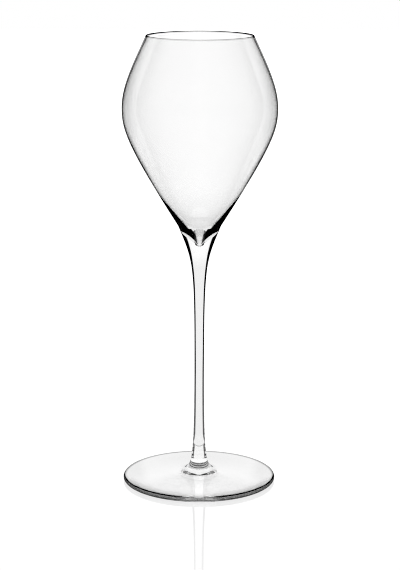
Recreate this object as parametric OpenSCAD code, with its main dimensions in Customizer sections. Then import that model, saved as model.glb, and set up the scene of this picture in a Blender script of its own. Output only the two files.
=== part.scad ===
// Champagne glass: a thin blown bowl, a drawn stem and a round foot, welded
// to one another. Millimetres, Z up. The origin is the centre of the face
// that the foot stands on, and the Z axis is the axis of the glass.

/* [Bowl] */
// Height of the rim above the table
height = 240; // [200:1:280]
// Outer diameter at the rim
rim_d = 56.3; // [44:0.1:70]
// Wall at the rim
rim_t = 1; // [0.5:0.05:2]
// How far the wall leans in at the rim, sideways for each millimetre up
rim_lean = 0.466; // [0.2:0.002:0.7]
// Length of the straight lean below the rim
rim_reach = 17.5; // [4:0.5:24]
// Largest diameter, at the belly
belly_d = 81.6; // [70:0.1:100]
// Height of the belly
belly_z = 202; // [185:1:215]
// Wall at the belly
belly_t = 0.62; // [0.5:0.02:2]
// Roundness of the wall above the belly
belly_up = 10.5; // [4:0.1:20]
// Roundness of the wall below the belly
belly_down = 10.2; // [4:0.1:20]
// How far the lower cone leans, sideways for each millimetre up
cone_lean = 0.629; // [0.4:0.001:0.8]
// Length of the straight part of the lower cone
cone_reach = 43.75; // [20:0.05:48]

/* [Bottom of the hollow] */
// Wall of the bowl at the weld to the stem
bottom_t = 2.2; // [1.5:0.01:3.5]
// Share of the way from the belly to the weld after which the wall thickens
thick_start = 0.814; // [0.6:0.002:0.9]
// How late the wall thickens on the rest of the way
thicken = 2.46; // [1:0.01:4]
// Length of the straight start of the drawn point
point_start = 3.6; // [1:0.02:8]
// Diameter of the drawn point at the end of the hollow
point_d = 3.3; // [1:0.1:4]
// Height of the drawn point
point_z = 131.55; // [129:0.05:134]
// How far the point leans, sideways for each millimetre up
point_lean = 0.685; // [0.3:0.005:1]
// Length of the straight end of the drawn point
point_reach = 2.88; // [1:0.01:8]

/* [Weld of bowl and stem] */
// Outer diameter of the weld ring
weld_d = 22.8; // [18:0.1:28]
// Height of the weld ring
weld_z = 140; // [136:0.5:146]
// Width of the flat ring at the edge of the weld
weld_land = 1; // [0.5:0.1:1.5]
// Depth of the rounded nose of the bowl below the weld ring
nose_depth = 14.5; // [13:0.5:18]

/* [Stem] */
// Diameter of the stem at its waist
waist_d = 5.1; // [4:0.1:9]
// Height of the waist
waist_z = 60; // [45:1:80]
// How far the trumpet under the bowl leans, sideways for each millimetre up
trumpet_lean = 0.4; // [0.2:0.01:0.5]
// Length of the straight lean at the top of the trumpet
trumpet_reach = 19.7; // [8:0.1:22]
// Length of the thin stretch above the waist
waist_up = 62; // [30:1:66]
// Length of the thin stretch below the waist
waist_down = 42; // [12:1:46]

/* [Weld of stem and foot] */
// Diameter of the stem where it is welded to the foot
base_d = 10.3; // [7:0.1:16]
// Height of the weld on the foot
base_z = 8.8; // [7.5:0.1:13]
// How far the flare leans at that weld, sideways for each millimetre down
base_lean = 0.55; // [0.2:0.005:0.8]
// Length of the straight lean of the stem above the weld
base_reach = 2.1; // [2:0.1:9]

/* [Foot] */
// Diameter of the foot
foot_d = 82; // [70:0.5:100]
// Diameter where the flare has run out into the plate
flare_d = 23; // [18:0.1:36]
// Height of the plate where the flare has run out
flare_z = 4.9; // [3.6:0.1:6]
// Length of the straight lean of the foot's flare below the weld
flare_reach = 2.3; // [1:0.1:3.2]
// Length of the flat end of the flare
flare_flat = 3.4; // [1:0.1:6]
// Fall of the plate's top, down for each millimetre outwards
foot_fall = 0.07; // [0.02:0.01:0.14]
// Thickness of the rounded edge
edge_t = 2.4; // [1.6:0.1:3.4]
// Width of the flat ring that the foot stands on
rest_w = 3; // [1:0.5:6]
// Rise of the hollow underside at its centre
hollow = 1.5; // [0.4:0.1:3]

/* [Hidden] */
$fn = 128;
glass = [0.93, 0.95, 0.95, 0.45];
rim_r = rim_d / 2;
belly_r = belly_d / 2;
weld_r = weld_d / 2;
waist_r = waist_d / 2;
base_r = base_d / 2;
flare_r = flare_d / 2;
point_r = point_d / 2;
nose_r = weld_r - weld_land;
nose_z = weld_z - nose_depth;
edge_r = edge_t / 2;
foot_r = foot_d / 2 - edge_r;
rest_r = foot_r - rest_w;
rim_tilt = atan(rim_lean);
edge_tilt = atan(foot_fall);
rim_mid = [rim_r - rim_t / 2 * cos(rim_tilt), height - rim_t / 2];
rim_out = rim_mid + rim_t / 2 * [cos(rim_tilt), sin(rim_tilt)];

// Four control points of each stretch of wall, from the top down
upper = [
    rim_out,
    rim_out + rim_reach * [rim_lean, -1],
    [belly_r, belly_z + belly_up],
    [belly_r, belly_z]
];
lower = [
    [belly_r, belly_z],
    [belly_r, belly_z - belly_down],
    [weld_r, weld_z] + cone_reach * [cone_lean, 1],
    [weld_r, weld_z]
];
nose = [
    [nose_r, weld_z],
    [nose_r, weld_z] - nose_depth * [0.15, 0.28],
    [nose_r * 0.45, nose_z],
    [0, nose_z]
];
trumpet = [
    [weld_r, weld_z],
    [weld_r, weld_z] - trumpet_reach * [trumpet_lean, 1],
    [waist_r, waist_z + waist_up],
    [waist_r, waist_z]
];
shank = [
    [waist_r, waist_z],
    [waist_r, waist_z - waist_down],
    [base_r, base_z] + base_reach * [-base_lean, 1],
    [base_r, base_z]
];
flare = [
    [base_r, base_z],
    [base_r, base_z] + flare_reach * [base_lean, -1],
    [flare_r, flare_z] + flare_flat * [-1, foot_fall],
    [flare_r, flare_z]
];
plate_end = [foot_r, edge_r] + edge_r * [sin(edge_tilt), cos(edge_tilt)];
plate = [
    [flare_r, flare_z],
    [flare_r, flare_z] + foot_r / 4 * [1, -foot_fall],
    plate_end + foot_r / 4 * [-1, foot_fall],
    plate_end
];
underside = [
    [rest_r, 0],
    [rest_r * 0.8, 0],
    [rest_r * 0.5, hollow],
    [0, hollow]
];

// Point and direction on a stretch, and a point inside it by a wall
function at(c, t) =
    c[0] * pow(1 - t, 3) + c[1] * 3 * t * pow(1 - t, 2)
    + c[2] * 3 * t * t * (1 - t) + c[3] * pow(t, 3);
function along(c, t) =
    (c[1] - c[0]) * pow(1 - t, 2) + (c[2] - c[1]) * 2 * t * (1 - t)
    + (c[3] - c[2]) * t * t;
function unit(v) = v / norm(v);
function inside(c, t, wall) =
    let (d = unit(along(c, t)))
    at(c, t) + wall * [d[1], -d[0]];

// A stretch as points: even, crowded to its end, or set in by the wall
function run(c, n) = [for (i = [0 : n - 1]) at(c, i / n)];
function late(i, n) = 1 - pow(1 - i / n, 2);
function run_late(c, n) = [for (i = [0 : n - 1]) at(c, late(i, n))];
function back(list) = [for (i = [len(list) - 1 : -1 : 0]) list[i]];
function upper_wall(t) = rim_t + (belly_t - rim_t) * t;
function lower_wall(t) =
    let (share = max(0, (t - thick_start) / (1 - thick_start)))
    belly_t + (bottom_t - belly_t) * pow(share, thicken);

// The hollow's drawn point goes on in the direction of the wall above it
hollow_end = inside(lower, 1, bottom_t);
hollow_way = unit(hollow_end - inside(lower, 0.995, lower_wall(0.995)));
point = [
    hollow_end,
    hollow_end + point_start * hollow_way,
    [point_r, point_z] + point_reach * [point_lean, 1],
    [point_r, point_z]
];
rim_round = [for (i = [1 : 7]) rim_mid + rim_t / 2
    * [cos(rim_tilt + 22.5 * i), sin(rim_tilt + 22.5 * i)]];
point_round = [for (i = [0 : 4]) [point_r * cos(22.5 * i), point_z - point_r * sin(22.5 * i)]];
edge_round = [for (i = [0 : 12]) [foot_r, edge_r]
    + edge_r * [cos(90 - edge_tilt - (180 - edge_tilt) * i / 12),
        sin(90 - edge_tilt - (180 - edge_tilt) * i / 12)]];
hollow_wall = concat(
    [for (i = [0 : 15]) inside(upper, i / 16, upper_wall(i / 16))],
    [for (i = [0 : 35]) inside(lower, late(i, 36), lower_wall(late(i, 36)))],
    run(point, 16),
    point_round
);

// Thin bowl with a rounded rim, and a solid rounded nose under its hollow
module bowl() {
    color(glass)
    rotate_extrude()
    polygon(concat(
        back(rim_round),
        run(upper, 16),
        run_late(lower, 36),
        [[weld_r, weld_z]],
        run(nose, 14),
        [[0, nose_z]],
        back(hollow_wall)
    ));
}

// Drawn stem: a cup that takes the nose of the bowl, a waist and a flare
module stem() {
    color(glass)
    rotate_extrude()
    polygon(concat(
        [[0, base_z]],
        [[0, nose_z]],
        back(run(nose, 14)),
        run_late(trumpet, 30),
        run_late(shank, 24),
        [[base_r, base_z]]
    ));
}

// Round foot: flare, sloping plate, rounded edge and hollow underside
module foot() {
    color(glass)
    rotate_extrude()
    polygon(concat(
        [[0, hollow]],
        [[0, base_z]],
        run(flare, 14),
        run(plate, 12),
        edge_round,
        run(underside, 14)
    ));
}

bowl();
stem();
foot();
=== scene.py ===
import math
import bmesh
import bpy
from mathutils import Matrix


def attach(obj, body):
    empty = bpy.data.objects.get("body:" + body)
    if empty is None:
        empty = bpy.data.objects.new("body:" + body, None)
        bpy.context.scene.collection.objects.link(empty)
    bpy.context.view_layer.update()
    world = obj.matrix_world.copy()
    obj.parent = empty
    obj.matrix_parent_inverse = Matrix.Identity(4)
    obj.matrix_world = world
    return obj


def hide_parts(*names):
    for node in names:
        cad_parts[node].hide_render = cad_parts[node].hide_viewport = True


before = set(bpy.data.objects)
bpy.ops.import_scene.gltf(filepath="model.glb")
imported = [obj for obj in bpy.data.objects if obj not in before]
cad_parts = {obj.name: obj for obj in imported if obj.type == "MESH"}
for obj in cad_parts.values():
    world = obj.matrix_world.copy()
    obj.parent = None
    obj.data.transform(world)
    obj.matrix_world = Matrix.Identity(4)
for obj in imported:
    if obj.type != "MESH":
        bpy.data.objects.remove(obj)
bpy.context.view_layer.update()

# BOWL. Thin clear crystal, blown to a high belly and fire-polished to a round rim.
# Its hollow is drawn down to a small point over a solid, rounded nose,
# and the nose is welded hot into the cup at the top of the stem.
MM = 0.001
TURN_STEPS = 256
SHARP_ANGLE = math.radians(25)
AXIS_R = 0.0001
height = 240.0
rim_r = 28.15
rim_wall = 1.0
rim_lean = 0.466
rim_reach = 17.5
# painted shade at the rim: how much darker the glass is made at its top
rim_painted_shade = 0.3
belly_r = 40.8
belly_z = 202.0
belly_wall = 0.62
belly_up = 10.5
belly_down = 10.2
cone_lean = 0.629
cone_reach = 43.75
thick_start = 0.814
thicken = 2.46
bottom_wall = 2.2
point_start = 3.6
point_r = 1.65
point_z = 131.55
point_lean = 0.685
point_reach = 2.88
weld_r = 11.4
weld_z = 140.0
weld_land = 1.0
nose_depth = 14.5
nose_lean = (-0.15, -0.28)
nose_flat = 0.45
wall_steps = 40
cone_steps = 110
point_steps = 40
nose_steps = 14
round_steps = 10
glass_ior = 1.52
wave_detail = 2.0
streak_detail = 3.0
streak_count = 3
streak_depth = 0.02
bowl_grain = (24.0, 9.0)
bowl_waves = 0.03
rim_tilt = math.atan(rim_lean)
nose_r = weld_r - weld_land
nose_z = weld_z - nose_depth


def go(start, way, length):
    """The point a length along a way from a start."""
    return (start[0] + way[0] * length, start[1] + way[1] * length)


def curve_point(curve, t):
    """A point on a curve of four control points, each (radius, height)."""
    share = ((1 - t) ** 3, 3 * t * (1 - t) ** 2, 3 * t * t * (1 - t), t ** 3)
    return tuple(sum(s * p[k] for s, p in zip(share, curve)) for k in (0, 1))


def wall_point(curve, t, wall):
    """The point inside the wall from a point on the outer curve."""
    share = ((1 - t) ** 2, 2 * t * (1 - t), t * t)
    steps = [(b[0] - a[0], b[1] - a[1]) for a, b in zip(curve, curve[1:])]
    way = [sum(s * p[k] for s, p in zip(share, steps)) for k in (0, 1)]
    length = math.hypot(*way)
    return go(curve_point(curve, t), (way[1] / length, -way[0] / length), wall)


def even(steps):
    """Even shares of a curve, without its end."""
    return [i / steps for i in range(steps)]


def late(steps):
    """Shares of a curve that crowd towards its end, without that end."""
    return [1 - (1 - i / steps) ** 2 for i in range(steps)]


def along(curve, shares):
    """The points of a curve at these shares of it."""
    return [curve_point(curve, t) for t in shares]


def spin(name, outline, welded, materials):
    """Turns an outline, from axis to axis, into one closed piece.
    The steps of the outline in welded lie inside the glass."""
    mesh = bpy.data.meshes.new(name)
    build = bmesh.new()
    rings = []
    for radius, z in outline:
        count = TURN_STEPS if radius > AXIS_R else 1
        rings.append([])
        for i in range(count):
            angle = 2 * math.pi * i / TURN_STEPS
            place = (radius * math.cos(angle), radius * math.sin(angle), z)
            rings[-1].append(build.verts.new([MM * v for v in place]))
    for step, (low, high) in enumerate(zip(rings, rings[1:])):
        for i in range(TURN_STEPS):
            j = (i + 1) % TURN_STEPS
            if len(low) == 1:
                corners = (low[0], high[i], high[j])
            elif len(high) == 1:
                corners = (low[i], high[0], low[j])
            else:
                corners = (low[i], high[i], high[j], low[j])
            face = build.faces.new(corners)
            face.smooth = True
            face.material_index = 1 if step in welded else 0
    bmesh.ops.recalc_face_normals(build, faces=build.faces)
    build.to_mesh(mesh)
    build.free()
    mesh.set_sharp_from_angle(angle=SHARP_ANGLE)
    for material in materials:
        mesh.materials.append(material)
    piece = bpy.data.objects.new(name, mesh)
    bpy.context.scene.collection.objects.link(piece)
    return piece


def add_node(material, kind):
    """A new node of a material."""
    return material.node_tree.nodes.new(kind)


def wire(material, source, target):
    """Joins an output of one node to an input of another."""
    material.node_tree.links.new(source, target)


def sums(material, operation, first, second):
    """A node that does sums on two values, each a socket or a number."""
    node = add_node(material, "ShaderNodeMath")
    node.operation = operation
    for socket, value in zip(node.inputs, (first, second)):
        if isinstance(value, bpy.types.NodeSocket):
            wire(material, value, socket)
        else:
            socket.default_value = value
    return node.outputs[0]


def soft_step(material, value, start, end):
    """A value that rises softly from 0 to 1 between a start and an end."""
    node = add_node(material, "ShaderNodeMapRange")
    node.interpolation_type = "SMOOTHSTEP"
    wire(material, value, node.inputs["Value"])
    node.inputs["From Min"].default_value = start
    node.inputs["From Max"].default_value = end
    return node.outputs[0]


def split(material, place):
    """The X, Y and Z of a place, as outputs of a node."""
    node = add_node(material, "ShaderNodeSeparateXYZ")
    wire(material, place, node.inputs[0])
    return node.outputs


def distance(material, place):
    """How far a place is from the origin."""
    node = add_node(material, "ShaderNodeVectorMath")
    node.operation = "LENGTH"
    wire(material, place, node.inputs[0])
    return node.outputs["Value"]


def speckle(material, grain, detail):
    """Soft noise; grain is its count per metre across and along the axis."""
    place = add_node(material, "ShaderNodeTexCoord")
    stretch = add_node(material, "ShaderNodeMapping")
    stretch.inputs["Scale"].default_value = (grain[0], grain[0], grain[1])
    wire(material, place.outputs["Object"], stretch.inputs["Vector"])
    noise = add_node(material, "ShaderNodeTexNoise")
    noise.inputs["Scale"].default_value = 1.0
    noise.inputs["Detail"].default_value = detail
    wire(material, stretch.outputs["Vector"], noise.inputs["Vector"])
    return noise.outputs["Fac"]


def clear_glass(name, grain, waviness):
    """Polished clear glass with a trace of the waves that hot working leaves,
    and of the faint streaks where the melt mixed. waviness is in millimetres."""
    material = bpy.data.materials.new(name)
    material.use_nodes = True
    shader = material.node_tree.nodes["Principled BSDF"]
    shader.inputs["Transmission Weight"].default_value = 1.0
    shader.inputs["IOR"].default_value = glass_ior
    shader.inputs["Roughness"].default_value = 0.0
    bump = add_node(material, "ShaderNodeBump")
    bump.inputs["Strength"].default_value = 1.0
    bump.inputs["Distance"].default_value = waviness * MM
    wire(material, speckle(material, grain, wave_detail), bump.inputs["Height"])
    wire(material, bump.outputs["Normal"], shader.inputs["Normal"])
    streaks = speckle(material, (grain[0] * streak_count, grain[1]), streak_detail)
    streak = sums(material, "MULTIPLY", streaks, streak_depth)
    tone = sums(material, "ADD", streak, 1 - streak_depth)
    wire(material, tone, shader.inputs["Base Color"])
    return material


def paint_shade(material, loss):
    """Paints shade onto a glass by taking a loss off its tone."""
    colour = material.node_tree.nodes["Principled BSDF"].inputs["Base Color"]
    tone = sums(material, "SUBTRACT", colour.links[0].from_socket, loss)
    wire(material, tone, colour)


def upper_wall(t):
    """Wall of the bowl from the rim to the belly."""
    return rim_wall + (belly_wall - rim_wall) * t


def lower_wall(t):
    """Wall of the bowl from the belly to the weld, thick only at its end."""
    share = max(0.0, (t - thick_start) / (1 - thick_start))
    return belly_wall + (bottom_wall - belly_wall) * share ** thicken


rim_middle = (rim_r - rim_wall / 2 * math.cos(rim_tilt), height - rim_wall / 2)
rim_outside = go(rim_middle, (math.cos(rim_tilt), math.sin(rim_tilt)), rim_wall / 2)
upper_curve = [
    rim_outside,
    go(rim_outside, (rim_lean, -1), rim_reach),
    (belly_r, belly_z + belly_up),
    (belly_r, belly_z),
]
lower_curve = [
    (belly_r, belly_z),
    (belly_r, belly_z - belly_down),
    go((weld_r, weld_z), (cone_lean, 1), cone_reach),
    (weld_r, weld_z),
]
nose_curve = [
    (nose_r, weld_z),
    go((nose_r, weld_z), nose_lean, nose_depth),
    (nose_r * nose_flat, nose_z),
    (0.0, nose_z),
]
near_end = 0.995
hollow_end = wall_point(lower_curve, 1.0, bottom_wall)
just_above = wall_point(lower_curve, near_end, lower_wall(near_end))
gap = math.dist(hollow_end, just_above)
hollow_way = [(hollow_end[k] - just_above[k]) / gap for k in (0, 1)]
point_curve = [
    hollow_end,
    go(hollow_end, hollow_way, point_start),
    go((point_r, point_z), (point_lean, 1), point_reach),
    (point_r, point_z),
]
rim_round = []
for i in range(1, round_steps):
    angle = rim_tilt + math.pi * i / round_steps
    rim_round.append(go(rim_middle, (math.cos(angle), math.sin(angle)), rim_wall / 2))
point_round = []
for i in range(round_steps):
    angle = math.pi / 2 * i / round_steps
    point_round.append((point_r * math.cos(angle), point_z - point_r * math.sin(angle)))
point_round.append((0.0, point_z - point_r))
hollow_outline = (
    [wall_point(upper_curve, t, upper_wall(t)) for t in even(wall_steps)]
    + [wall_point(lower_curve, t, lower_wall(t)) for t in late(cone_steps)]
    + along(point_curve, even(point_steps))
    + point_round
)
nose_outline = along(nose_curve, even(nose_steps)) + [(0.0, nose_z)]
bowl_glass_outline = (
    hollow_outline[::-1]
    + rim_round[::-1]
    + along(upper_curve, even(wall_steps))
    + along(lower_curve, late(cone_steps))
)
bowl_outline = bowl_glass_outline + [(weld_r, weld_z)] + nose_outline
bowl_weld_steps = range(len(bowl_glass_outline), len(bowl_outline))

weld = bpy.data.materials.new("weld_inside")
weld.use_nodes = True
weld.node_tree.nodes["Principled BSDF"].inputs["Alpha"].default_value = 0.0

bowl_glass = clear_glass("bowl_glass", bowl_grain, bowl_waves)
# Painted shade: the glass is made darker in a band at the top of the rim, standing in for the
# dark line that the round rim shows.
bowl_place = add_node(bowl_glass, "ShaderNodeTexCoord")
rim_shade_band = soft_step(
    bowl_glass,
    split(bowl_glass, bowl_place.outputs["Object"])["Z"],
    (height - rim_wall) * MM,
    (height - rim_wall / 2) * MM,
)
paint_shade(bowl_glass, sums(bowl_glass, "MULTIPLY", rim_shade_band, rim_painted_shade))
bowl = spin("bowl", bowl_outline, bowl_weld_steps, (bowl_glass, weld))
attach(bowl, "root")
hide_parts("bowl")

# STEM. Solid clear crystal, drawn out while hot to a long thin waist.
# Its top opens like a trumpet into the cup that takes the bowl's nose,
# and its lower end flares onto the boss of the foot.
waist_r = 2.55
waist_z = 60.0
trumpet_lean = 0.4
trumpet_reach = 19.7
waist_up = 62.0
waist_down = 42.0
base_r = 5.15
base_z = 8.8
base_lean = 0.55
base_reach = 2.1
stem_steps = 80
stem_grain = (90.0, 12.0)
stem_waves = 0.01
trumpet_curve = [
    (weld_r, weld_z),
    go((weld_r, weld_z), (-trumpet_lean, -1), trumpet_reach),
    (waist_r, waist_z + waist_up),
    (waist_r, waist_z),
]
shank_curve = [
    (waist_r, waist_z),
    (waist_r, waist_z - waist_down),
    go((base_r, base_z), (-base_lean, 1), base_reach),
    (base_r, base_z),
]
stem_outline = (
    nose_outline[::-1]
    + along(trumpet_curve, late(stem_steps))
    + along(shank_curve, late(stem_steps))
    + [(base_r, base_z), (0.0, base_z)]
)
stem_weld_steps = set(range(len(nose_outline))) | {len(stem_outline) - 2}
stem_glass = clear_glass("stem_glass", stem_grain, stem_waves)
stem = spin("stem", stem_outline, stem_weld_steps, (stem_glass, weld))
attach(stem, "root")
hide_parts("stem")

# FOOT. Solid clear crystal, spun out flat and fire-polished to a round edge.
# A low boss carries on the flare of the stem, and the hollow underside
# leaves only a ring at the edge to stand on.
foot_r = 41.0
flare_r = 11.5
flare_z = 4.9
flare_reach = 2.3
flare_flat = 3.4
foot_fall = 0.07
edge_wall = 2.4
rest_width = 3.0
hollow_rise = 1.5
under_start = 0.8
under_end = 0.5
flare_steps = 50
plate_steps = 40
edge_steps = 24
under_steps = 50
foot_grain = (60.0, 60.0)
foot_waves = 0.01
# Painted shade on the round edge of the foot: how dark it is, how much it is mottled, how fine
# the mottle is, and how much of it is left at the top.
edge_painted_shade = 0.55
edge_shade_mottling = 0.3
edge_shade_grain = (900.0, 900.0)
edge_shade_at_top = 0.45
edge_r = edge_wall / 2
edge_centre = (foot_r - edge_r, edge_r)
edge_tilt = math.atan(foot_fall)
rest_r = foot_r - edge_r - rest_width
plate_end = go(edge_centre, (math.sin(edge_tilt), math.cos(edge_tilt)), edge_r)
plate_reach = (foot_r - edge_r) / 4
flare_curve = [
    (base_r, base_z),
    go((base_r, base_z), (base_lean, -1), flare_reach),
    go((flare_r, flare_z), (-1, foot_fall), flare_flat),
    (flare_r, flare_z),
]
plate_curve = [
    (flare_r, flare_z),
    go((flare_r, flare_z), (1, -foot_fall), plate_reach),
    go(plate_end, (-1, foot_fall), plate_reach),
    plate_end,
]
under_curve = [
    (rest_r, 0.0),
    (rest_r * under_start, 0.0),
    (rest_r * under_end, hollow_rise),
    (0.0, hollow_rise),
]
edge_round = []
for i in range(edge_steps + 1):
    angle = math.pi / 2 - edge_tilt - (math.pi - edge_tilt) * i / edge_steps
    edge_round.append(go(edge_centre, (math.cos(angle), math.sin(angle)), edge_r))
foot_outline = (
    [(0.0, base_z)]
    + along(flare_curve, even(flare_steps))
    + along(plate_curve, even(plate_steps))
    + edge_round
    + along(under_curve, even(under_steps))
    + [(0.0, hollow_rise)]
)
foot_glass = clear_glass("foot_glass", foot_grain, foot_waves)
# Painted shade: the glass is made darker, with a random mottle, in a ring at the round edge.
# It is full in the lower half of the edge and less towards its top, standing in for the dark
# lines that the edge shows.
foot_place = add_node(foot_glass, "ShaderNodeTexCoord")
edge_shade_ring = soft_step(
    foot_glass,
    distance(foot_glass, foot_place.outputs["Object"]),
    (foot_r - edge_wall) * MM,
    (foot_r - edge_wall / 4) * MM,
)
edge_shade_height = add_node(foot_glass, "ShaderNodeMapRange")
edge_shade_height.inputs["From Min"].default_value = edge_wall / 2 * MM
edge_shade_height.inputs["From Max"].default_value = edge_wall * MM
edge_shade_height.inputs["To Min"].default_value = 1.0
edge_shade_height.inputs["To Max"].default_value = edge_shade_at_top
foot_z = split(foot_glass, foot_place.outputs["Object"])["Z"]
wire(foot_glass, foot_z, edge_shade_height.inputs["Value"])
edge_shade_mask = sums(foot_glass, "MULTIPLY", edge_shade_ring, edge_shade_height.outputs[0])
edge_shade_noise = speckle(foot_glass, edge_shade_grain, wave_detail)
edge_shade_mottle = sums(foot_glass, "MULTIPLY", edge_shade_noise, edge_shade_mottling)
edge_shade_loss = sums(foot_glass, "ADD", edge_shade_mottle, edge_painted_shade - edge_shade_mottling / 2)
paint_shade(foot_glass, sums(foot_glass, "MULTIPLY", edge_shade_mask, edge_shade_loss))
foot = spin("foot", foot_outline, {0}, (foot_glass, weld))
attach(foot, "root")
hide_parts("foot")

# CAMERA. It stands a little above the rim and looks down along the stem,
# so that the foot and the mouth both show as narrow ellipses.
image_px = (400, 570)
focal_px = 1810.69
camera_place = (0.0003, -0.941146, 0.318457)
camera_pitch = math.radians(12.62548)
camera_roll = 0.0027
camera_data = bpy.data.cameras.new("camera")
camera = bpy.data.objects.new("camera", camera_data)
bpy.context.scene.collection.objects.link(camera)
camera_data.sensor_fit = "AUTO"
camera_data.sensor_width = 36.0
camera_data.lens = focal_px / max(image_px) * camera_data.sensor_width
camera_data.clip_start = 0.01
camera_data.clip_end = 50.0
camera.matrix_world = (
    Matrix.Translation(camera_place)
    @ Matrix.Rotation(math.pi / 2 - camera_pitch, 4, "X")
    @ Matrix.Rotation(camera_roll, 4, "Z")
)
bpy.context.scene.camera = camera

# TABLE. A white glossy sheet. Its white is mostly its own glow, so that it stays
# even under a plain white dome and takes only a faint shadow of the glass.
# Through the glass it is bright under the foot, and dim beside and beyond it.
table_size = 6.0
table_drop = 0.0002
table_colour = (0.05, 0.05, 0.05, 1.0)
table_roughness = 0.05
table_ior = 2.0
table_white_level = 0.78
under_foot = 1.12
contact_shade = 0.9
contact_reach = 0.03
front_shade = 0.3
front_start = -0.012
front_end = -0.03
beside_slope = 0.6
beside_end = 3.0
beside_loss = 0.9
deep_walls = 3.5
near_card_y = 0.057
strip_half = 0.035
strip_white = 0.92
far_dark = 0.12
lit_reach = 0.13
no_turn = 0.5
dome_r = 8.0


def table_sum(operation, first, second):
    """Sums in the table's material."""
    return sums(table_white, operation, first, second)


def table_not(value):
    """What is left of one in the table's material."""
    return table_sum("SUBTRACT", 1.0, value)


table_white = bpy.data.materials.new("table_white")
table_white.use_nodes = True
table_shader = table_white.node_tree.nodes["Principled BSDF"]
table_shader.inputs["Base Color"].default_value = table_colour
table_shader.inputs["Roughness"].default_value = table_roughness
table_shader.inputs["IOR"].default_value = table_ior
table_shader.inputs["Emission Color"].default_value = (1.0, 1.0, 1.0, 1.0)
table_shader.inputs["Emission Strength"].default_value = table_white_level
table_path = add_node(table_white, "ShaderNodeLightPath")
table_place = add_node(table_white, "ShaderNodeNewGeometry").outputs["Position"]
table_away = distance(table_white, table_place)
table_split = split(table_white, table_place)
table_back = table_split["Y"]
table_aside = table_sum("ABSOLUTE", table_split["X"], 0.0)
table_front = soft_step(table_white, table_back, front_start, front_end)
table_in_sector = table_sum(
    "LESS_THAN",
    table_aside,
    table_sum("MULTIPLY", table_back, beside_end),
)

# The table past the foot: a white strip behind the glass and a white disc round it
table_behind = table_sum(
    "MULTIPLY",
    table_in_sector,
    table_sum("LESS_THAN", table_back, near_card_y),
)
table_strip = table_sum(
    "MULTIPLY",
    table_sum("LESS_THAN", table_aside, strip_half),
    table_sum("GREATER_THAN", table_back, 0.0),
)
table_direct = table_sum("LESS_THAN", table_path.outputs["Glossy Depth"], no_turn)
table_near = table_sum("LESS_THAN", table_away, lit_reach)
table_disc = table_sum(
    "MULTIPLY",
    table_sum("MULTIPLY", table_near, table_direct),
    table_not(table_behind),
)
table_bright = table_sum("MAXIMUM", table_strip, table_disc)
table_far = table_sum(
    "ADD",
    far_dark,
    table_sum("MULTIPLY", table_bright, strip_white - far_dark),
)
table_contact = table_sum(
    "SUBTRACT",
    contact_shade,
    table_sum("MULTIPLY", table_front, contact_shade - front_shade),
)
table_close = table_sum("LESS_THAN", table_path.outputs["Ray Length"], contact_reach)
table_open = table_sum(
    "ADD",
    table_sum("MULTIPLY", table_close, table_contact),
    table_sum("MULTIPLY", table_not(table_close), table_far),
)

# The table under the foot: dim beside the stem's own light and at the front ring
table_beside = table_sum(
    "MULTIPLY",
    table_sum("GREATER_THAN", table_aside, table_sum("MULTIPLY", table_back, beside_slope)),
    table_in_sector,
)
table_deep = table_sum("GREATER_THAN", table_path.outputs["Transmission Depth"], deep_walls)
table_dim = table_sum("MULTIPLY", table_sum("MULTIPLY", table_deep, table_beside), beside_loss)
table_ring = table_sum("GREATER_THAN", table_away, rest_r * MM)
table_front_ring = table_sum("MULTIPLY", table_ring, table_front)
table_dark = table_sum("MULTIPLY", table_front_ring, 1.0 - front_shade)
table_lit = table_not(table_sum("MAXIMUM", table_dim, table_dark))
table_under = table_sum("MULTIPLY", table_lit, under_foot)
table_past = table_sum("GREATER_THAN", table_away, (foot_r - edge_r) * MM)
table_through = table_sum(
    "ADD",
    table_sum("MULTIPLY", table_past, table_open),
    table_sum("MULTIPLY", table_not(table_past), table_under),
)
table_seen_through = add_node(table_white, "ShaderNodeEmission")
wire(table_white, table_through, table_seen_through.inputs["Strength"])
table_mix = add_node(table_white, "ShaderNodeMixShader")
wire(table_white, table_path.outputs["Is Transmission Ray"], table_mix.inputs["Fac"])
wire(table_white, table_shader.outputs["BSDF"], table_mix.inputs[1])
wire(table_white, table_seen_through.outputs[0], table_mix.inputs[2])
table_out = table_white.node_tree.nodes["Material Output"]
wire(table_white, table_mix.outputs[0], table_out.inputs["Surface"])
table_mesh = bpy.data.meshes.new("table")
table_corners = [(-1, -1), (1, -1), (1, 1), (-1, 1)]
table_mesh.from_pydata(
    [(x * table_size / 2, y * table_size / 2, -table_drop) for x, y in table_corners],
    [],
    [(0, 1, 2, 3)],
)
table_mesh.materials.append(table_white)
table = bpy.data.objects.new("table", table_mesh)
bpy.context.scene.collection.objects.link(table)
table.visible_glossy = False
table_group = bpy.data.collections.new("lit_by_dome")
table_group.objects.link(table)

dome_white = bpy.data.materials.new("dome_white")
dome_white.use_nodes = True
dome_white.node_tree.nodes.clear()
dome_light = add_node(dome_white, "ShaderNodeEmission")
dome_light.inputs["Strength"].default_value = 1.0
dome_out = add_node(dome_white, "ShaderNodeOutputMaterial")
wire(dome_white, dome_light.outputs[0], dome_out.inputs["Surface"])
dome_mesh = bpy.data.meshes.new("dome")
dome_build = bmesh.new()
bmesh.ops.create_uvsphere(dome_build, u_segments=32, v_segments=16, radius=dome_r)
dome_build.to_mesh(dome_mesh)
dome_build.free()
dome_mesh.materials.append(dome_white)
dome = bpy.data.objects.new("dome", dome_mesh)
bpy.context.scene.collection.objects.link(dome)
dome.visible_camera = False
dome.light_linking.receiver_collection = table_group

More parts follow.
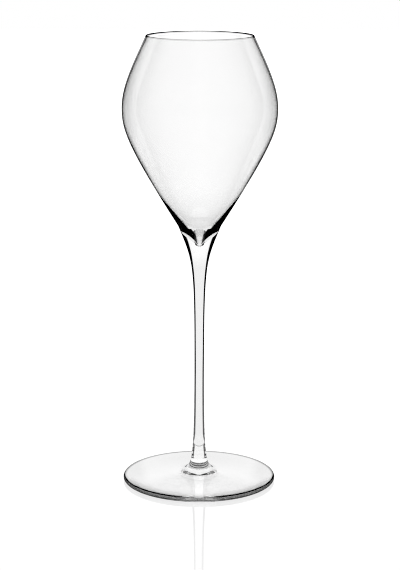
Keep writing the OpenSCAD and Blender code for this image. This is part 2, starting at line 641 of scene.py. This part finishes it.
# BACKDROP. A white card close behind the glass, with dark to both sides of it,
# which is how clear glass is lit: the white shows through the thin walls
# and the dark draws each edge. A second one stands farther off for other views.
backdrop_top = 0.33
backdrop_half = 2.0
far_card_distance = 1.36
far_card_stretch = 1.45
far_card_top = 0.235
middle_steps = (
    (0.0, 0.93),
    (0.03, 0.96),
    (0.115, 0.96),
    (0.13, 1.1),
    (0.15, 1.18),
    (0.235, 1.16),
    (0.25, 0.0),
)
side_steps = (
    (0.0, 0.93),
    (0.03, 0.96),
    (0.115, 0.96),
    (0.13, 1.06),
    (0.16, 1.08),
    (0.18, 1.03),
    (0.235, 1.0),
    (0.25, 0.0),
)
width_steps = (
    (0.03, 0.035),
    (0.06, 0.041),
    (0.12, 0.041),
    (0.137, 0.037),
    (0.158, 0.037),
    (0.17, 0.044),
    (0.19, 0.049),
    (0.21, 0.048),
    (0.24, 0.046),
)
soft_steps = ((0.0, 0.008), (0.16, 0.008), (0.185, 0.028), (0.24, 0.028))
soft_half = 0.5
outside_steps = ((0.0, 0.12), (0.03, 0.12), (0.04, 0.0))
low_steps = ((0.0, 0.4), (0.03, 0.4), (0.04, 0.0))
far_low_steps = ((0.0, 0.8), (0.05, 0.8), (0.08, 0.0))
far_low_end = (0.12, 0.2)
beside_steps = ((0.08, 0.0), (0.11, 0.8), (0.16, 0.8), (0.19, 0.5), (0.22, 0.3))
beside_rise = (0.066, 0.098)
beside_fall = (0.09, 0.22)
one_turn = 1.5
turned_loss = 0.8
turned_top = 0.07


def card_sum(operation, first, second):
    """Sums in the card's material."""
    return sums(card_white, operation, first, second)


def card_not(value):
    """What is left of one in the card's material."""
    return card_sum("SUBTRACT", 1.0, value)


def by_height(steps):
    """A value that changes with the height on the card."""
    most = max(value for _, value in steps)
    node = add_node(card_white, "ShaderNodeValToRGB")
    wire(card_white, card_height.outputs[0], node.inputs["Fac"])
    stops = node.color_ramp.elements
    ready = len(stops)
    for number, (z, value) in enumerate(steps):
        if number < ready:
            stop = stops[number]
            stop.position = z / backdrop_top
        else:
            stop = stops.new(z / backdrop_top)
        stop.color = (value / most,) * 3 + (1.0,)
    return card_sum("MULTIPLY", node.outputs["Color"], most)


card_white = bpy.data.materials.new("backdrop_white")
card_white.use_nodes = True
card_white.node_tree.nodes.clear()
card_place = add_node(card_white, "ShaderNodeTexCoord")
card_geometry = add_node(card_white, "ShaderNodeNewGeometry")
card_path = add_node(card_white, "ShaderNodeLightPath")
card_is_through = card_path.outputs["Is Transmission Ray"]
card_is_far = add_node(card_white, "ShaderNodeObjectInfo").outputs["Object Index"]
card_z = split(card_white, card_geometry.outputs["Position"])["Z"]
card_most_z = card_sum("SUBTRACT", 1.0 + far_card_top, card_is_far)
card_height = add_node(card_white, "ShaderNodeMapRange")
card_height.inputs["From Max"].default_value = backdrop_top
wire(card_white, card_sum("MINIMUM", card_z, card_most_z), card_height.inputs["Value"])

# White inside the card's soft edges, brighter in the middle than at the sides
card_side = card_sum("ABSOLUTE", split(card_white, card_place.outputs["Object"])["X"], 0.0)
card_width = by_height(width_steps)
card_beyond = card_sum("SUBTRACT", card_side, card_width)
card_edge = card_sum("DIVIDE", card_beyond, by_height(soft_steps))
card_past = soft_step(card_white, card_edge, -soft_half, soft_half)
card_inside = card_not(card_past)
card_share = card_sum("POWER", card_sum("DIVIDE", card_side, card_width), 2.0)
card_white_level = card_sum(
    "ADD",
    card_sum("MULTIPLY", card_not(card_share), by_height(middle_steps)),
    card_sum("MULTIPLY", card_share, by_height(side_steps)),
)

# Low light beside the card, which the plate of the foot needs, most on the far one
far_low_side = card_not(soft_step(card_white, card_side, *far_low_end))
far_low_light = card_sum("MULTIPLY", far_low_side, by_height(far_low_steps))
far_low = card_sum("MULTIPLY", card_is_far, far_low_light)
card_outside = card_sum("ADD", by_height(outside_steps), far_low)

# Light that turned round inside the glass more than once comes dimmer
card_turned = card_sum("GREATER_THAN", card_path.outputs["Glossy Depth"], one_turn)
card_lower = card_sum("LESS_THAN", card_z, turned_top)
card_piped = card_sum("MULTIPLY", card_turned, card_lower)
card_kept = card_not(card_sum("MULTIPLY", card_piped, turned_loss))
card_through = card_sum(
    "ADD",
    card_sum("MULTIPLY", card_inside, card_white_level),
    card_sum("MULTIPLY", card_past, card_outside),
)

# What the glass mirrors: a pale patch to each side, and a low one for the plate
card_beside = card_sum(
    "SUBTRACT",
    soft_step(card_white, card_side, *beside_rise),
    soft_step(card_white, card_side, *beside_fall),
)
card_low = card_sum("MULTIPLY", card_inside, by_height(low_steps))
card_mirrored = card_sum(
    "ADD",
    card_sum("MULTIPLY", card_beside, by_height(beside_steps)),
    card_sum("MAXIMUM", card_low, far_low),
)
card_strength = card_sum(
    "ADD",
    card_sum("MULTIPLY", card_is_through, card_sum("MULTIPLY", card_through, card_kept)),
    card_sum("MULTIPLY", card_not(card_is_through), card_mirrored),
)
card_light = add_node(card_white, "ShaderNodeEmission")
wire(card_white, card_strength, card_light.inputs["Strength"])
card_is_rough = card_not(card_path.outputs["Is Singular Ray"])
card_hidden = card_sum("MAXIMUM", card_geometry.outputs["Backfacing"], card_is_rough)
card_clear = add_node(card_white, "ShaderNodeBsdfTransparent")
card_mix = add_node(card_white, "ShaderNodeMixShader")
wire(card_white, card_hidden, card_mix.inputs["Fac"])
wire(card_white, card_light.outputs[0], card_mix.inputs[1])
wire(card_white, card_clear.outputs[0], card_mix.inputs[2])
card_out = add_node(card_white, "ShaderNodeOutputMaterial")
wire(card_white, card_mix.outputs[0], card_out.inputs["Surface"])
card_mesh = bpy.data.meshes.new("backdrop")
card_mesh.from_pydata(
    [
        (-backdrop_half, -backdrop_half, 0.0),
        (backdrop_half, -backdrop_half, 0.0),
        (backdrop_half, backdrop_top, 0.0),
        (-backdrop_half, backdrop_top, 0.0),
    ],
    [],
    [(0, 1, 2, 3)],
)
card_mesh.materials.append(card_white)
upright = Matrix.Rotation(math.pi / 2, 4, "X")
near_place = Matrix.Translation((0.0, near_card_y, 0.0)) @ upright
far_place = (
    camera.matrix_world
    @ Matrix.Translation((0.0, 0.0, -far_card_distance))
    @ Matrix.Scale(far_card_stretch, 4, (1, 0, 0))
)
for number, place in enumerate((near_place, far_place)):
    card = bpy.data.objects.new("backdrop_%d" % (number + 1), card_mesh)
    bpy.context.scene.collection.objects.link(card)
    card.parent = camera
    card.matrix_parent_inverse = camera.matrix_world.inverted()
    card.matrix_basis = place
    card.pass_index = number
    card.visible_camera = False
    card.visible_diffuse = False
    card.visible_shadow = False

# ROOM. Plain white to the camera, and dark to everything else,
# so that only the card and the table light the glass.
room = bpy.data.worlds.new("room")
room.use_nodes = True
bpy.context.scene.world = room
room_light = room.node_tree.nodes["Background"]
room_light.inputs["Color"].default_value = (1.0, 1.0, 1.0, 1.0)
room_path = add_node(room, "ShaderNodeLightPath")
wire(room, room_path.outputs["Is Camera Ray"], room_light.inputs["Strength"])
bpy.context.scene.view_settings.view_transform = "Standard"
bpy.context.scene.cycles.max_bounces = 24
bpy.context.scene.cycles.transmission_bounces = 24
bpy.context.scene.cycles.glossy_bounces = 12
bpy.context.scene.cycles.filter_width = 1.0
